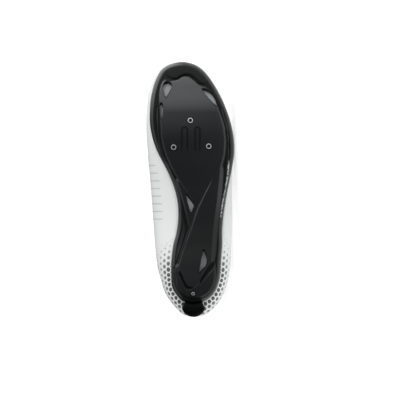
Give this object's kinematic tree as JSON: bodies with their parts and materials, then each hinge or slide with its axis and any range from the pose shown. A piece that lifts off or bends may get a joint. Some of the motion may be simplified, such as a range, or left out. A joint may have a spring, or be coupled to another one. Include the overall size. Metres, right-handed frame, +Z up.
{
  "type": "cycling shoe",
  "caption": "Low road cycling shoe with a stiff moulded sole, threaded seats for a pedal cleat, a hollow upper, tongue and hook-and-loop straps, lying on its outer side.",
  "frame": {"origin": "centre of the lying shoe's bounding box, on the floor", "axes": "+X to the toe, +Z up and to the inner side of the foot, the sole's underside facing -Y"},
  "size_m": [0.2796, 0.1074, 0.0911],
  "materials": {
    "carbon": "clear-coated carbon composite",
    "soft_rubber": "matte",
    "heel_rubber": "matte",
    "steel": "bright",
    "upper_white": "smooth coated microfibre",
    "tongue_grey": "padded mesh over microfibre",
    "strap_grey": "satin",
    "insole_white": "foam under cloth"
  },
  "bodies": {
    "root": {"sole_shell": "carbon", "toe_bumper": "soft_rubber", "heel_pad": "heel_rubber", "heel_pad_screw": "steel", "cleat_insert_front": "steel", "cleat_insert_medial": "steel", "cleat_insert_lateral": "steel", "upper": "upper_white", "tongue": "tongue_grey", "insole": "insole_white", "strap_forefoot": "strap_grey", "strap_instep": "strap_grey"}
  },
  "joints": []
}
